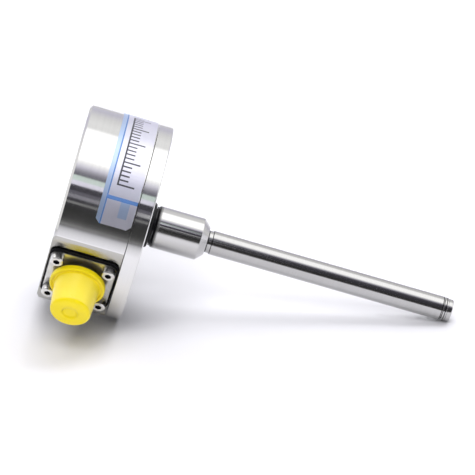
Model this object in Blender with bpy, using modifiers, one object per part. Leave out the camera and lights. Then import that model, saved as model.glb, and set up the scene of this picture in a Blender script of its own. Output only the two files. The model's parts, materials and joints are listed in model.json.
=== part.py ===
"""Rod-style magnetostrictive position sensor.

A drum housing of turned stainless steel stands on its back face. A plug-in collar and the
pressure rod rise from its front plate along +Z. The drum has a flat along its side towards
-Y. The connector sits there in a milled pocket and is closed by a push-on cap. Inside the
rod run the waveguide, its guide tube and the return conductor; the pick-up sits on a round
board in the drum.
"""

import math

import bmesh
import bpy

MM = 0.001

# Fits
CLEARANCE = 0.3 * MM
LABEL_LIFT = 0.06 * MM

# Drum housing
DRUM_RADIUS = 42.0 * MM
BODY_LENGTH = 29.6 * MM
BACK_CHAMFER = 1.0 * MM
BACK_WALL = 3.5 * MM
SIDE_WALL = 12.0 * MM

# Front plate with plug-in collar, one turned piece
PLATE_THICKNESS = 6.3 * MM
RIM_CHAMFER = 0.4 * MM
PLATE_SPIGOT = 3.4 * MM
SEAL_CORD_RADIUS = 0.65 * MM
SEAL_GROOVE_WALL = 0.7 * MM
COLLAR_RADIUS = 9.0 * MM
COLLAR_LENGTH = 19.3 * MM
COLLAR_EDGE = 0.7 * MM
COLLAR_TAPER_LENGTH = 3.0 * MM
COLLAR_NOSE_RADIUS = 6.05 * MM
UNDERCUT_RADIUS = 7.5 * MM
UNDERCUT_LENGTH = 4.0 * MM
UNDERCUT_SHOULDER = 8.4 * MM
FACE_RELIEF_REACH = 1.6 * MM
FACE_RELIEF_DEPTH = 0.2 * MM
O_RING_CORD_RADIUS = 1.05 * MM

# Pressure rod
ROD_RADIUS = 5.1 * MM
ROD_WALL = 1.1 * MM
ROD_REACH = 103.8 * MM
ROD_NECK_RADIUS = 4.75 * MM
ROD_NECK_LENGTH = 2.0 * MM
ROD_TAIL = 1.6 * MM
PLUG_RING_RADIUS = 5.0 * MM
PLUG_RING_LENGTH = 1.3 * MM
PLUG_GROOVE_RADIUS = 4.55 * MM
PLUG_GROOVE_LENGTH = 0.4 * MM
PLUG_TIP_RADIUS = 4.75 * MM
PLUG_TIP_LENGTH = 2.0 * MM
PLUG_TIP_ROUND = 0.5 * MM
PLUG_STEM_LENGTH = 5.0 * MM

# Flat milled along the side of the drum, with the connector's pocket in it
FLAT_INSET = 5.4 * MM
POCKET_BACK_LEDGE = 0.8 * MM
POCKET_FRONT_LEDGE = 0.4 * MM
POCKET_CORNER = 3.0 * MM
POCKET_FLOOR_WALL = 3.5 * MM

# Connector receptacle
FLANGE_EDGE_GAP = 0.5 * MM
FLANGE_CORNER = 3.2 * MM
FLANGE_THICKNESS = 2.8 * MM
GASKET_THICKNESS = 0.8 * MM
GASKET_WEB = 0.6 * MM
GASKET_LIP_REACH = 0.4 * MM
GASKET_LIP_THICKNESS = 0.4 * MM
SHELL_RADIUS = 7.9 * MM
SHELL_BORE = 6.5 * MM
SHELL_STANDOUT = 12.3 * MM
SHELL_MOUTH_CHAMFER = 0.5 * MM
SPIGOT_RADIUS = 7.2 * MM
SPIGOT_LENGTH = 6.0 * MM
INSERT_RECESS = 8.5 * MM
INSERT_LENGTH = 14.0 * MM
RING_PIN_COUNT = 7
PIN_RADIUS = 0.5 * MM
PIN_CIRCLE_RADIUS = 4.3 * MM
PIN_STANDOUT = 3.5 * MM
PIN_TAIL = 2.0 * MM

# Flange screws, socket head
SCREW_INSET = 2.8 * MM
SCREW_RADIUS = 1.5 * MM
SCREW_THREAD_LENGTH = 7.6 * MM
SCREW_HEAD_RADIUS = 2.75 * MM
SCREW_HEAD_HEIGHT = 3.0 * MM
SCREW_HEAD_CHAMFER = 0.3 * MM
SOCKET_RADIUS = 1.45 * MM
SOCKET_DEPTH = 1.5 * MM

# Push-on protective cap
CAP_STANDOFF = 2.0 * MM
CAP_LENGTH = 16.3 * MM
BRIM_TO_SCREW_HEAD = 1.07 * MM
BRIM_THICKNESS = 2.0 * MM
BRIM_BEAD_WIDTH = 1.0 * MM
BRIM_BEAD_HEIGHT = 0.5 * MM
BRIM_EDGE = 0.35 * MM
CAP_FOOT_WALL = 1.15 * MM
CAP_FOOT_FILLET = 0.8 * MM
CAP_DRAFT = 0.85 * MM
CAP_EDGE_ROUND = 1.4 * MM
CAP_END_WALL = 1.5 * MM
CAP_DIMPLE_RADIUS = 3.5 * MM
CAP_DIMPLE_DEPTH = 0.7 * MM
CAP_DIMPLE_SLOPE = 0.7 * MM
CAP_TIP_TAPER = 1.6 * MM

# Label wrapped round the body, from the connector's side towards -X and over to the far side
LABEL_START = math.radians(44.5)
LABEL_ARC = math.radians(125.0)
LABEL_WIDTH = 14.9 * MM
LABEL_EDGE_GAP = 0.3 * MM
LABEL_THICKNESS = 0.14 * MM
LABEL_CORNER = 1.8 * MM

# Board on its spacers
SPACER_HEIGHT = 1.9 * MM
SPACER_RADIUS = 3.0 * MM
BOARD_THICKNESS = 1.6 * MM
BOARD_EDGE_GAP = 3.0 * MM
BOARD_SCREW_INSET = 4.0 * MM
BOARD_SCREW_RADIUS = 1.25 * MM
BOARD_SCREW_HEAD_RADIUS = 2.25 * MM
BOARD_SCREW_HEAD_HEIGHT = 1.6 * MM
BOARD_SCREW_BITE = 2.0 * MM
CHIP_SIDE = 9.0 * MM
CHIP_HEIGHT = 1.6 * MM
CHIP_TO_HEAD = 0.64 * MM

# Pick-up
HEAD_RADIUS = 8.0 * MM
HEAD_CORE_RADIUS = 4.6 * MM
HEAD_BASE = 1.5 * MM
HEAD_TO_ROD = 3.0 * MM
COIL_THICKNESS = 2.5 * MM
MAGNET_SIDE = 4.0 * MM
MAGNET_HEIGHT = 8.0 * MM

# Waveguide and what surrounds it
WAVEGUIDE_RADIUS = 0.4 * MM
GUIDE_TUBE_WALL = 0.7 * MM
RETURN_RADIUS = 0.35 * MM
RETURN_OFFSET = 2.5 * MM
WAVEGUIDE_END_GAP = 6.8 * MM
DAMPER_RADIUS = 1.8 * MM
DAMPER_LENGTH = 11.7 * MM
LINK_THICKNESS = 0.8 * MM
LINK_HALF_WIDTH = 0.9 * MM
CENTRING_RING_LENGTH = 3.0 * MM

# Leads from the contacts to the board
LEAD_PINS = (1, 3, 4, 6)
LEAD_RADIUS = 0.45 * MM
LEAD_RUN = 8.5 * MM
LEAD_POINTS = 12

# Facets
DRUM_STEPS = 80
ROD_STEPS = 40
SHELL_STEPS = 40
CAP_STEPS = 48
SMALL_STEPS = 20
CORD_SIDES = 8

# Sizes and levels that follow from the sizes above
CAVITY_RADIUS = DRUM_RADIUS - SIDE_WALL
SEAM_LEVEL = BODY_LENGTH + CLEARANCE
FACE_LEVEL = SEAM_LEVEL + PLATE_THICKNESS
SPIGOT_LEVEL = SEAM_LEVEL - PLATE_SPIGOT
COLLAR_LEVEL = FACE_LEVEL + UNDERCUT_LENGTH
RELIEF_LEVEL = FACE_LEVEL - FACE_RELIEF_DEPTH
RELIEF_RADIUS = COLLAR_RADIUS + FACE_RELIEF_REACH
TAPER_LEVEL = COLLAR_LEVEL + COLLAR_LENGTH
NOSE_LEVEL = TAPER_LEVEL + COLLAR_TAPER_LENGTH
ROD_END_LEVEL = NOSE_LEVEL + ROD_REACH
ROD_TAIL_LEVEL = SPIGOT_LEVEL - ROD_TAIL
ROD_BORE = ROD_RADIUS - ROD_WALL
POCKET_WIDTH = BODY_LENGTH - POCKET_BACK_LEDGE - POCKET_FRONT_LEDGE
FLAT_LEVEL = DRUM_RADIUS - FLAT_INSET
POCKET_FLOOR = CAVITY_RADIUS + POCKET_FLOOR_WALL
CONNECTOR_HEIGHT = POCKET_BACK_LEDGE + POCKET_WIDTH / 2
FLANGE_SIDE = POCKET_WIDTH - 2 * FLANGE_EDGE_GAP
POCKET_LENGTH = FLANGE_SIDE + 2 * (GASKET_WEB + 2 * CLEARANCE)
SCREW_SPACING = FLANGE_SIDE - 2 * SCREW_INSET
GASKET_LEVEL = POCKET_FLOOR + CLEARANCE
FLANGE_LEVEL = GASKET_LEVEL + GASKET_THICKNESS + CLEARANCE
FLANGE_FACE = FLANGE_LEVEL + FLANGE_THICKNESS
MOUTH_LEVEL = FLANGE_FACE + SHELL_STANDOUT
INSERT_FACE = MOUTH_LEVEL - INSERT_RECESS
INSERT_BACK = INSERT_FACE - INSERT_LENGTH
CAP_FOOT = FLANGE_FACE + CAP_STANDOFF
BRIM_RADIUS = SCREW_SPACING / math.sqrt(2) - SCREW_HEAD_RADIUS - BRIM_TO_SCREW_HEAD
BOARD_RADIUS = CAVITY_RADIUS - BOARD_EDGE_GAP
BOARD_SCREW_CIRCLE = BOARD_RADIUS - BOARD_SCREW_INSET
BOARD_LEVEL = BACK_WALL + SPACER_HEIGHT + 2 * CLEARANCE
BOARD_TOP = BOARD_LEVEL + BOARD_THICKNESS
HEAD_LEVEL = BOARD_TOP + CLEARANCE
HEAD_TOP = ROD_TAIL_LEVEL - HEAD_TO_ROD
CHIP_OFFSET = HEAD_RADIUS + CHIP_TO_HEAD + CHIP_SIDE / math.sqrt(2)
WAVEGUIDE_END = ROD_END_LEVEL - WAVEGUIDE_END_GAP


def new_collection(name):
    collection = bpy.data.collections.new(name)
    bpy.context.scene.collection.children.link(collection)
    return collection


for old in list(bpy.data.objects):
    bpy.data.objects.remove(old, do_unlink=True)

PARTS = new_collection("magnetostrictive_position_sensor")
CUTTERS = new_collection("cutters")


def material(name, colour, roughness, metallic=0.0):
    """A Principled material with the piece's colour, roughness and metallic value."""
    made = bpy.data.materials.new(name)
    made.use_nodes = True
    shader = made.node_tree.nodes["Principled BSDF"]
    shader.inputs["Base Color"].default_value = (*colour, 1.0)
    shader.inputs["Roughness"].default_value = roughness
    shader.inputs["Metallic"].default_value = metallic
    made.diffuse_color = (*colour, 1.0)
    return made


def settled(source, name):
    """The mesh of a guide object with its modifiers applied, welded and shaded by angle."""
    bpy.context.view_layer.update()
    graph = bpy.context.evaluated_depsgraph_get()
    mesh = bpy.data.meshes.new_from_object(source.evaluated_get(graph))
    mesh.name = name
    bpy.data.objects.remove(source, do_unlink=True)
    work = bmesh.new()
    work.from_mesh(mesh)
    bmesh.ops.remove_doubles(work, verts=work.verts, dist=0.00001)
    work.to_mesh(mesh)
    work.free()
    mesh.shade_smooth()
    mesh.set_sharp_from_angle(angle=math.radians(32))
    return mesh


def turned(name, profile, steps):
    """Profile points (radius, level) swept round Z. They run down the outer side."""
    guide = bpy.data.meshes.new(name)
    work = bmesh.new()
    points = [work.verts.new((radius, 0.0, level)) for radius, level in profile]
    for first, second in zip(points, points[1:]):
        work.edges.new((first, second))
    if profile[0][0] > 0.0 or profile[-1][0] > 0.0:
        work.edges.new((points[-1], points[0]))
    work.to_mesh(guide)
    work.free()
    source = bpy.data.objects.new(name, guide)
    PARTS.objects.link(source)
    screw = source.modifiers.new("turn", "SCREW")
    screw.axis = "Z"
    screw.angle = math.tau
    screw.steps = steps
    screw.render_steps = steps
    screw.use_merge_vertices = True
    screw.merge_threshold = 0.00001
    return settled(source, name)


def ring(name, outer, inner, low, high, steps):
    """A plain tube."""
    return turned(name, [(outer, high), (outer, low), (inner, low), (inner, high)], steps)


def cord_ring(name, centre_radius, cord_radius, level, steps):
    """A round cord bent into a ring: its section runs down the outer side."""
    section = []
    for index in range(CORD_SIDES):
        angle = math.pi / 2 - math.tau * (index + 0.5) / CORD_SIDES
        section.append(
            (
                centre_radius + cord_radius * math.cos(angle),
                level + cord_radius * math.sin(angle),
            )
        )
    return turned(name, section, steps)


def rod(name, radius, low, high, steps=SMALL_STEPS):
    """A plain round bar between two levels."""
    return turned(name, [(0.0, high), (radius, high), (radius, low), (0.0, low)], steps)


def rounded_outline(length, width, corner, corner_points=6):
    """Points of a rectangle with rounded corners, round the origin."""
    points = []
    for quarter in range(4):
        side_x = 1 if quarter in (0, 3) else -1
        side_y = 1 if quarter in (0, 1) else -1
        for index in range(corner_points + 1):
            angle = math.pi / 2 * (quarter + index / corner_points)
            points.append(
                (
                    side_x * (length / 2 - corner) + corner * math.cos(angle),
                    side_y * (width / 2 - corner) + corner * math.sin(angle),
                )
            )
    return points


def plate(name, outline, low, high):
    """A flat outline extruded between two levels."""
    curve = bpy.data.curves.new(name, "CURVE")
    curve.dimensions = "2D"
    curve.fill_mode = "BOTH"
    curve.extrude = (high - low) / 2
    spline = curve.splines.new("POLY")
    spline.points.add(len(outline) - 1)
    for point, (x, y) in zip(spline.points, outline):
        point.co = (x, y, 0.0, 1.0)
    spline.use_cyclic_u = True
    source = bpy.data.objects.new(name, curve)
    PARTS.objects.link(source)
    mesh = settled(source, name)
    for vertex in mesh.vertices:
        vertex.co.z += (low + high) / 2
    return mesh


def block(name, size, centre):
    """A box with its edges along the axes."""
    mesh = bpy.data.meshes.new(name)
    work = bmesh.new()
    bmesh.ops.create_cube(work, size=1.0)
    bmesh.ops.scale(work, vec=size, verts=work.verts)
    bmesh.ops.translate(work, vec=centre, verts=work.verts)
    work.to_mesh(mesh)
    work.free()
    return mesh


def place(name, mesh, look, parent=None, location=(0.0, 0.0, 0.0)):
    """One sub-part with its own material."""
    part = bpy.data.objects.new(name, mesh)
    part.data.materials.clear()
    part.data.materials.append(look)
    part.parent = parent
    part.location = location
    PARTS.objects.link(part)
    return part


def tool(name, mesh, parent=None, location=(0.0, 0.0, 0.0)):
    """A helper for a Boolean, left out of renders."""
    helper = bpy.data.objects.new(name, mesh)
    helper.parent = parent
    helper.location = location
    helper.hide_render = True
    helper.display_type = "WIRE"
    CUTTERS.objects.link(helper)
    return helper


def combine(part, helper, operation="DIFFERENCE"):
    modifier = part.modifiers.new(helper.name, "BOOLEAN")
    modifier.operation = operation
    modifier.solver = "EXACT"
    modifier.object = helper


def on_circle(radius, angle):
    return radius * math.cos(angle), radius * math.sin(angle)


# The connector's frame: its +Z points out of the drum along -Y, its +Y points along the rod
connector = bpy.data.objects.new("connector_axis", None)
connector.location = (0.0, 0.0, CONNECTOR_HEIGHT)
connector.rotation_euler = (math.pi / 2, 0.0, 0.0)
PARTS.objects.link(connector)

screw_places = [
    (side_x * SCREW_SPACING / 2, side_y * SCREW_SPACING / 2)
    for side_y in (-1, 1)
    for side_x in (-1, 1)
]
board_screw_places = [
    on_circle(BOARD_SCREW_CIRCLE, math.radians(90 + 120 * index)) for index in range(3)
]

# Drum body: a cup with a chamfered back edge, a flat along its side and the connector's pocket
body = place(
    "housing_body",
    turned(
        "housing_body",
        [
            (0.0, BACK_WALL),
            (CAVITY_RADIUS, BACK_WALL),
            (CAVITY_RADIUS, BODY_LENGTH),
            (DRUM_RADIUS, BODY_LENGTH),
            (DRUM_RADIUS, BACK_CHAMFER),
            (DRUM_RADIUS - BACK_CHAMFER, 0.0),
            (0.0, 0.0),
        ],
        DRUM_STEPS,
    ),
    material("turned_steel_body", (0.62, 0.61, 0.60), 0.22, 1.0),
)
flat = block(
    "flat_tool",
    (2 * DRUM_RADIUS, 2 * FLAT_INSET, 2 * BODY_LENGTH),
    (0.0, -FLAT_LEVEL - FLAT_INSET, BODY_LENGTH / 2),
)
combine(body, tool("flat_tool", flat))
pocket = plate(
    "pocket_tool",
    rounded_outline(POCKET_LENGTH, POCKET_WIDTH, POCKET_CORNER),
    POCKET_FLOOR,
    DRUM_RADIUS + POCKET_CORNER,
)
combine(body, tool("pocket_tool", pocket, connector))
spigot_bore = rod(
    "spigot_bore_tool",
    SPIGOT_RADIUS + CLEARANCE,
    CAVITY_RADIUS / 2,
    POCKET_FLOOR + POCKET_CORNER,
    SHELL_STEPS,
)
combine(body, tool("spigot_bore_tool", spigot_bore, connector))
for index, (x, y) in enumerate(screw_places):
    drill = rod(
        f"flange_drill_{index + 1}",
        SCREW_RADIUS + CLEARANCE,
        FLANGE_FACE - SCREW_THREAD_LENGTH - CLEARANCE,
        POCKET_FLOOR + POCKET_CORNER,
    )
    combine(body, tool(drill.name, drill, connector, (x, y, 0.0)))
for index, (x, y) in enumerate(board_screw_places):
    drill = rod(
        f"board_drill_{index + 1}",
        BOARD_SCREW_RADIUS + CLEARANCE,
        BACK_WALL - BOARD_SCREW_BITE - CLEARANCE,
        BACK_WALL + SPACER_HEIGHT,
        16,
    )
    combine(body, tool(drill.name, drill, None, (x, y, 0.0)))

# Front plate and plug-in collar, turned from one bar, with a shallow relief round the O-ring
plate_spigot_radius = CAVITY_RADIUS - CLEARANCE
groove_radius = plate_spigot_radius - 2 * SEAL_CORD_RADIUS - CLEARANCE
seal_level = SPIGOT_LEVEL + SEAL_GROOVE_WALL + CLEARANCE + SEAL_CORD_RADIUS
groove_top = seal_level + SEAL_CORD_RADIUS + CLEARANCE
place(
    "front_flange",
    turned(
        "front_flange",
        [
            (COLLAR_NOSE_RADIUS, NOSE_LEVEL),
            (COLLAR_RADIUS, TAPER_LEVEL),
            (COLLAR_RADIUS, COLLAR_LEVEL),
            (UNDERCUT_SHOULDER, COLLAR_LEVEL - COLLAR_EDGE),
            (UNDERCUT_SHOULDER, COLLAR_LEVEL - 2 * COLLAR_EDGE),
            (UNDERCUT_RADIUS, COLLAR_LEVEL - 2 * COLLAR_EDGE),
            (UNDERCUT_RADIUS, RELIEF_LEVEL),
            (RELIEF_RADIUS, RELIEF_LEVEL),
            (RELIEF_RADIUS, FACE_LEVEL),
            (DRUM_RADIUS - RIM_CHAMFER, FACE_LEVEL),
            (DRUM_RADIUS, FACE_LEVEL - RIM_CHAMFER),
            (DRUM_RADIUS, SEAM_LEVEL),
            (plate_spigot_radius, SEAM_LEVEL),
            (plate_spigot_radius, groove_top),
            (groove_radius, groove_top),
            (groove_radius, SPIGOT_LEVEL + SEAL_GROOVE_WALL),
            (plate_spigot_radius, SPIGOT_LEVEL + SEAL_GROOVE_WALL),
            (plate_spigot_radius, SPIGOT_LEVEL),
            (ROD_RADIUS + CLEARANCE, SPIGOT_LEVEL),
            (ROD_RADIUS + CLEARANCE, NOSE_LEVEL),
        ],
        DRUM_STEPS,
    ),
    material("turned_steel_flange", (0.64, 0.63, 0.62), 0.20, 1.0),
)
place(
    "cover_seal",
    cord_ring(
        "cover_seal",
        groove_radius + CLEARANCE + SEAL_CORD_RADIUS,
        SEAL_CORD_RADIUS,
        seal_level,
        DRUM_STEPS // 2,
    ),
    material("seal_rubber", (0.02, 0.02, 0.02), 0.6),
)
place(
    "collar_o_ring",
    cord_ring(
        "collar_o_ring",
        UNDERCUT_RADIUS + CLEARANCE / 2 + O_RING_CORD_RADIUS,
        O_RING_CORD_RADIUS,
        FACE_LEVEL + CLEARANCE + O_RING_CORD_RADIUS,
        ROD_STEPS,
    ),
    material("o_ring_rubber", (0.012, 0.012, 0.013), 0.45),
)

# Pressure rod with its welded end plug
neck_level = NOSE_LEVEL + ROD_NECK_LENGTH
place(
    "rod_tube",
    turned(
        "rod_tube",
        [
            (ROD_RADIUS, ROD_END_LEVEL),
            (ROD_RADIUS, neck_level),
            (ROD_NECK_RADIUS, neck_level),
            (ROD_NECK_RADIUS, NOSE_LEVEL),
            (ROD_RADIUS, NOSE_LEVEL),
            (ROD_RADIUS, ROD_TAIL_LEVEL),
            (ROD_BORE, ROD_TAIL_LEVEL),
            (ROD_BORE, ROD_END_LEVEL),
        ],
        ROD_STEPS,
    ),
    material("drawn_steel_rod", (0.60, 0.59, 0.58), 0.18, 1.0),
)
plug_level = ROD_END_LEVEL + CLEARANCE
plug_groove_level = plug_level + PLUG_RING_LENGTH
plug_tip_level = plug_groove_level + PLUG_GROOVE_LENGTH
plug_end_level = plug_tip_level + PLUG_TIP_LENGTH
tip_round = [
    (
        PLUG_TIP_RADIUS - PLUG_TIP_ROUND + PLUG_TIP_ROUND * math.sin(angle),
        plug_end_level - PLUG_TIP_ROUND + PLUG_TIP_ROUND * math.cos(angle),
    )
    for angle in (0.0, math.pi / 6, math.pi / 3, math.pi / 2)
]
place(
    "rod_end_plug",
    turned(
        "rod_end_plug",
        [
            (0.0, plug_end_level),
            *tip_round,
            (PLUG_TIP_RADIUS, plug_tip_level),
            (PLUG_GROOVE_RADIUS, plug_tip_level),
            (PLUG_GROOVE_RADIUS, plug_groove_level),
            (PLUG_RING_RADIUS, plug_groove_level),
            (PLUG_RING_RADIUS, plug_level),
            (ROD_BORE - CLEARANCE, plug_level),
            (ROD_BORE - CLEARANCE, ROD_END_LEVEL - PLUG_STEM_LENGTH),
            (0.0, ROD_END_LEVEL - PLUG_STEM_LENGTH),
        ],
        ROD_STEPS,
    ),
    material("turned_steel_plug", (0.60, 0.59, 0.57), 0.25, 1.0),
)

# Receptacle: square flange, round shell in front of it and spigot behind it
flange_steel = material("receptacle_steel", (0.60, 0.59, 0.57), 0.30, 1.0)
receptacle = place(
    "receptacle_shell",
    plate(
        "receptacle_shell",
        rounded_outline(FLANGE_SIDE, FLANGE_SIDE, FLANGE_CORNER),
        FLANGE_LEVEL,
        FLANGE_FACE,
    ),
    flange_steel,
    connector,
)
shell = turned(
    "shell_form",
    [
        (0.0, MOUTH_LEVEL),
        (SHELL_RADIUS - SHELL_MOUTH_CHAMFER, MOUTH_LEVEL),
        (SHELL_RADIUS, MOUTH_LEVEL - SHELL_MOUTH_CHAMFER),
        (SHELL_RADIUS, FLANGE_LEVEL + FLANGE_THICKNESS / 2),
        (SPIGOT_RADIUS, FLANGE_LEVEL + FLANGE_THICKNESS / 2),
        (SPIGOT_RADIUS, FLANGE_LEVEL - SPIGOT_LENGTH),
        (0.0, FLANGE_LEVEL - SPIGOT_LENGTH),
    ],
    SHELL_STEPS,
)
combine(receptacle, tool("shell_form", shell, connector), "UNION")
shell_bore = rod(
    "shell_bore_tool",
    SHELL_BORE,
    FLANGE_LEVEL - SPIGOT_LENGTH - FLANGE_THICKNESS,
    MOUTH_LEVEL + FLANGE_THICKNESS,
    SHELL_STEPS,
)
combine(receptacle, tool("shell_bore_tool", shell_bore, connector))

# Gasket: a plate under the flange, a web up its two far sides and a lip all round it
lip_level = FLAT_LEVEL + CLEARANCE
lip_top = lip_level + GASKET_LIP_THICKNESS
gasket = place(
    "flange_gasket",
    plate(
        "flange_gasket",
        rounded_outline(
            POCKET_LENGTH - 2 * CLEARANCE, POCKET_WIDTH - 2 * CLEARANCE, POCKET_CORNER - CLEARANCE
        ),
        GASKET_LEVEL,
        lip_top,
    ),
    material("gasket_rubber", (0.015, 0.015, 0.015), 0.7),
    connector,
)
lip = plate(
    "lip_form",
    rounded_outline(
        POCKET_LENGTH + 2 * GASKET_LIP_REACH,
        POCKET_WIDTH + 2 * GASKET_LIP_REACH,
        POCKET_CORNER + GASKET_LIP_REACH,
    ),
    lip_level,
    lip_top,
)
combine(gasket, tool("lip_form", lip, connector), "UNION")
flange_seat = plate(
    "flange_seat_tool",
    rounded_outline(
        FLANGE_SIDE + 2 * CLEARANCE, FLANGE_SIDE + 2 * CLEARANCE, FLANGE_CORNER + CLEARANCE
    ),
    GASKET_LEVEL + GASKET_THICKNESS,
    FLANGE_FACE + FLANGE_THICKNESS,
)
combine(gasket, tool("flange_seat_tool", flange_seat, connector))
gasket_bore = rod(
    "gasket_bore_tool",
    SPIGOT_RADIUS + CLEARANCE,
    POCKET_FLOOR,
    FLANGE_LEVEL,
    SHELL_STEPS,
)
combine(gasket, tool("gasket_bore_tool", gasket_bore, connector))
for index, (x, y) in enumerate(screw_places):
    hole = rod(
        f"flange_hole_{index + 1}",
        SCREW_RADIUS + CLEARANCE,
        POCKET_FLOOR,
        FLANGE_FACE + FLANGE_THICKNESS,
    )
    hole_tool = tool(hole.name, hole, connector, (x, y, 0.0))
    combine(receptacle, hole_tool)
    combine(gasket, hole_tool)

# Socket-head screws that hold the receptacle
screw_base = FLANGE_FACE + CLEARANCE
screw_top = screw_base + SCREW_HEAD_HEIGHT
screw_steel = material("screw_steel", (0.58, 0.57, 0.56), 0.28, 1.0)
for index, (x, y) in enumerate(screw_places):
    name = f"flange_screw_{index + 1}"
    screw = place(
        name,
        turned(
            name,
            [
                (0.0, screw_top),
                (SCREW_HEAD_RADIUS - SCREW_HEAD_CHAMFER, screw_top),
                (SCREW_HEAD_RADIUS, screw_top - SCREW_HEAD_CHAMFER),
                (SCREW_HEAD_RADIUS, screw_base),
                (SCREW_RADIUS, screw_base),
                (SCREW_RADIUS, FLANGE_FACE - SCREW_THREAD_LENGTH),
                (0.0, FLANGE_FACE - SCREW_THREAD_LENGTH),
            ],
            SMALL_STEPS,
        ),
        screw_steel if index == 0 else screw_steel.copy(),
        connector,
        (x, y, 0.0),
    )
    socket = rod(
        f"socket_tool_{index + 1}",
        SOCKET_RADIUS,
        screw_top - SOCKET_DEPTH,
        screw_top + SOCKET_DEPTH,
        6,
    )
    combine(screw, tool(socket.name, socket, connector, (x, y, 0.0)))

# Insulator and contacts
insert = place(
    "contact_insert",
    rod("contact_insert", SHELL_BORE - CLEARANCE, INSERT_BACK, INSERT_FACE, SHELL_STEPS),
    material("insulator_plastic", (0.03, 0.03, 0.03), 0.5),
    connector,
)
pin_places = [
    on_circle(PIN_CIRCLE_RADIUS, math.pi / 2 + math.tau * index / RING_PIN_COUNT)
    for index in range(RING_PIN_COUNT)
]
pin_places.append((0.0, 0.0))
pin_gold = material("contact_gold", (0.80, 0.60, 0.25), 0.25, 1.0)
for index, (x, y) in enumerate(pin_places):
    name = f"contact_pin_{index + 1}"
    place(
        name,
        turned(
            name,
            [
                (0.0, INSERT_FACE + PIN_STANDOUT),
                (PIN_RADIUS / 2, INSERT_FACE + PIN_STANDOUT),
                (PIN_RADIUS, INSERT_FACE + PIN_STANDOUT - PIN_RADIUS),
                (PIN_RADIUS, INSERT_BACK - PIN_TAIL),
                (0.0, INSERT_BACK - PIN_TAIL),
            ],
            12,
        ),
        pin_gold if index == 0 else pin_gold.copy(),
        connector,
        (x, y, 0.0),
    )
    hole = rod(
        f"pin_hole_{index + 1}",
        PIN_RADIUS + CLEARANCE,
        INSERT_BACK - PIN_TAIL,
        INSERT_FACE + PIN_STANDOUT,
        12,
    )
    combine(insert, tool(hole.name, hole, connector, (x, y, 0.0)))

# Protective cap: brim with a raised bead, drafted barrel, dimpled end, hollow over the shell
cap_bore = SHELL_RADIUS + CLEARANCE
barrel_foot = cap_bore + CAP_FOOT_WALL
barrel_end = barrel_foot - CAP_DRAFT
brim_top = BRIM_THICKNESS
barrel_foot_level = brim_top + CAP_FOOT_FILLET
hollow_end = CAP_LENGTH - CAP_END_WALL
shell_end = MOUTH_LEVEL - CAP_FOOT
end_round = [
    (
        barrel_end - CAP_EDGE_ROUND + CAP_EDGE_ROUND * math.sin(angle),
        CAP_LENGTH - CAP_EDGE_ROUND + CAP_EDGE_ROUND * math.cos(angle),
    )
    for angle in (0.0, math.pi / 8, math.pi / 4, 3 * math.pi / 8, math.pi / 2)
]
cap_profile = [
    (0.0, CAP_LENGTH - CAP_DIMPLE_DEPTH),
    (CAP_DIMPLE_RADIUS - CAP_DIMPLE_SLOPE, CAP_LENGTH - CAP_DIMPLE_DEPTH),
    (CAP_DIMPLE_RADIUS, CAP_LENGTH),
    *end_round,
    (barrel_foot, barrel_foot_level),
    (barrel_foot + CAP_FOOT_FILLET / 3, brim_top + CAP_FOOT_FILLET / 3),
    (barrel_foot + CAP_FOOT_FILLET, brim_top),
    (BRIM_RADIUS - BRIM_BEAD_WIDTH, brim_top),
    (BRIM_RADIUS - BRIM_BEAD_WIDTH, brim_top + BRIM_BEAD_HEIGHT),
    (BRIM_RADIUS - BRIM_EDGE, brim_top + BRIM_BEAD_HEIGHT),
    (BRIM_RADIUS, brim_top + BRIM_BEAD_HEIGHT - BRIM_EDGE),
    (BRIM_RADIUS, BRIM_EDGE),
    (BRIM_RADIUS - BRIM_EDGE, 0.0),
    (cap_bore, 0.0),
    (cap_bore, shell_end + CLEARANCE),
    (cap_bore - CAP_TIP_TAPER, hollow_end),
    (0.0, hollow_end),
]
place(
    "protective_cap",
    turned("protective_cap", cap_profile, CAP_STEPS),
    material("cap_plastic", (0.95, 0.80, 0.03), 0.38),
    connector,
    (0.0, 0.0, CAP_FOOT),
)

# Label: an open strip with rounded corners, bent round the drum and thickened outwards
label_high = BODY_LENGTH - LABEL_EDGE_GAP
label_radius = DRUM_RADIUS + LABEL_LIFT
label_columns = 56
strip = bpy.data.meshes.new("label")
work = bmesh.new()
bmesh.ops.create_grid(work, x_segments=label_columns, y_segments=1, size=0.5)
label_length = LABEL_ARC * label_radius
for vertex in work.verts:
    along = (vertex.co.x + 0.5) * label_length
    edge = min(along, label_length - along)
    inset = 0.0
    if edge < LABEL_CORNER:
        inset = LABEL_CORNER - math.sqrt(LABEL_CORNER**2 - (LABEL_CORNER - edge) ** 2)
    half_width = LABEL_WIDTH / 2 - inset * 0.98
    angle = LABEL_START + along / label_radius
    vertex.co = (
        -label_radius * math.sin(angle),
        -label_radius * math.cos(angle),
        label_high - LABEL_WIDTH / 2 + math.copysign(half_width, vertex.co.y),
    )
work.to_mesh(strip)
work.free()
source = bpy.data.objects.new("label", strip)
PARTS.objects.link(source)
thick = source.modifiers.new("thickness", "SOLIDIFY")
thick.thickness = LABEL_THICKNESS
thick.offset = -1.0
place(
    "label",
    settled(source, "label"),
    material("label_film", (0.66, 0.67, 0.74), 0.35, 0.3),
)

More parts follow.
